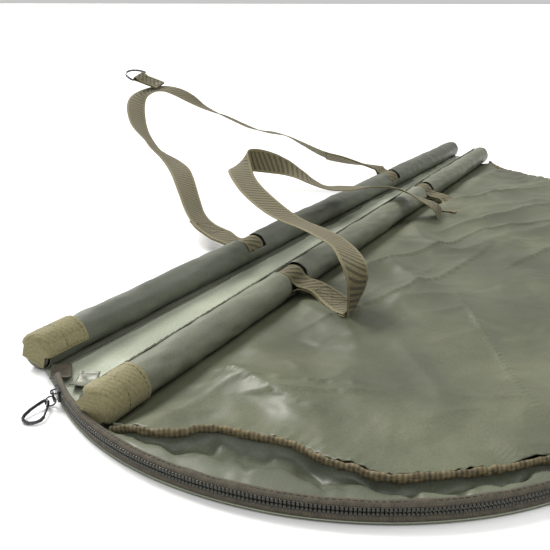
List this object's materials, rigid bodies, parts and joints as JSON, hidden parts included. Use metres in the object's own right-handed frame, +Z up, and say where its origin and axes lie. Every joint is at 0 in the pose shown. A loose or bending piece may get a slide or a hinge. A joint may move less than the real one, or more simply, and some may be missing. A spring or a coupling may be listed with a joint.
{
  "type": "weigh sling",
  "caption": "Zipped fishing weigh sling lying flat: two sleeved poles, cloth body, two webbing carry handles, a D-ring and a zip with snap clip.",
  "frame": {"origin": "on the ground in the middle of the mouth, between the two poles", "axes": "+X along the near pole, towards its far end in the picture; +Y from the near pole to the far pole; +Z up from the ground"},
  "size_m": [1.1906, 0.8959, 0.18],
  "materials": {
    "cloth": "satin-coated woven",
    "lining": "glossy coated",
    "webbing": "ribbed woven",
    "zip_nylon": "semi-matt",
    "dark_metal": "dark satin",
    "aluminium": "satin",
    "plug_plastic": "satin"
  },
  "bodies": {
    "base": {"far_pole": "aluminium", "far_plug_left": "plug_plastic", "far_plug_right": "plug_plastic", "far_sleeve": "cloth", "far_seam_flange": "cloth", "far_end_tab": "webbing", "lower_panel": "cloth", "left_gusset": "cloth", "right_gusset": "cloth", "bottom_seam": "cloth", "zip_tape_lower": "webbing", "zip_tape_upper": "webbing", "zip_teeth_lower": "zip_nylon", "zip_teeth_upper": "zip_nylon", "zip_bottom_stop": "dark_metal", "zip_end_tab_lower": "cloth", "zip_end_tab_upper": "cloth"},
    "near_side": {"near_pole": "aluminium", "near_plug_left": "plug_plastic", "near_plug_right": "plug_plastic", "near_sleeve": "cloth", "near_seam_band": "cloth", "near_lining_flap": "lining", "near_end_tab": "webbing", "upper_panel": "cloth", "left_binding": "cloth", "right_binding": "cloth"},
    "far_grip": {"far_handle": "webbing", "d_ring_tab": "webbing"},
    "ring_d": {"d_ring": "dark_metal"},
    "near_tabs": {"near_tab_left": "webbing", "near_tab_right": "webbing"},
    "near_grip": {"near_handle": "webbing"},
    "slider": {"zip_slider": "dark_metal"},
    "pull": {"zip_pull": "dark_metal"},
    "ring": {"pull_ring": "dark_metal"},
    "clip": {"clip_body": "dark_metal"},
    "gate": {"clip_gate": "dark_metal"}
  },
  "joints": [
    {"name": "mouth_open", "type": "hinge", "parent": "base", "child": "near_side", "pos_m": [0, -0.401, 0.0045], "axis": [1, 0, 0], "range_deg": [0, 12]},
    {"name": "far_handle_swing", "type": "hinge", "parent": "base", "child": "far_grip", "pos_m": [0.0562, 0.0427, 0.0153], "axis": [0.9994, -0.0344, 0], "range_deg": [0, 35]},
    {"name": "d_ring_swing", "type": "hinge", "parent": "far_grip", "child": "ring_d", "pos_m": [0.19016, 0.46476, 0.16994], "axis": [-0.9667, -0.1107, -0.2309], "range_deg": [-85, 85]},
    {"name": "near_tabs_lift", "type": "hinge", "parent": "near_side", "child": "near_tabs", "pos_m": [0.0015, -0.047, 0.0183], "axis": [1, 0, 0], "range_deg": [-60, 0]},
    {"name": "near_handle_fold", "type": "hinge", "parent": "near_tabs", "child": "near_grip", "pos_m": [-0.09385, -0.1201, 0.0154], "axis": [0.9971, 0.0764, 0.0005], "range_deg": [0, 120]},
    {"name": "zip_run", "type": "hinge", "parent": "base", "child": "slider", "pos_m": [-0.3241, -0.1503, 0.01], "axis": [0, 0, 1], "range_deg": [-4, 117]},
    {"name": "pull_swing", "type": "hinge", "parent": "slider", "child": "pull", "pos_m": [-0.53601, 0.00479, 0.0122], "axis": [0.5906, 0.807, 0], "range_deg": [0, 125]},
    {"name": "ring_swing", "type": "hinge", "parent": "pull", "child": "ring", "pos_m": [-0.53601, 0.00479, 0.0049], "axis": [0.5906, 0.807, 0], "range_deg": [0, 15]},
    {"name": "clip_lift", "type": "hinge", "parent": "ring", "child": "clip", "pos_m": [-0.5394, 0.00727, 0.0049], "axis": [0.5906, 0.807, 0], "range_deg": [0, 45]},
    {"name": "clip_gate_open", "type": "hinge", "parent": "clip", "child": "gate", "pos_m": [-0.54519, 0.00263, 0.0041], "axis": [-0.1107, -0.0339, 0.9933], "range_deg": [-25, 0], "stiffness_Nm_per_rad": 0.02}
  ],
  "couplings": [
    {"joint": "near_handle_fold", "follows": "near_tabs_lift", "ratio": -2}
  ]
}
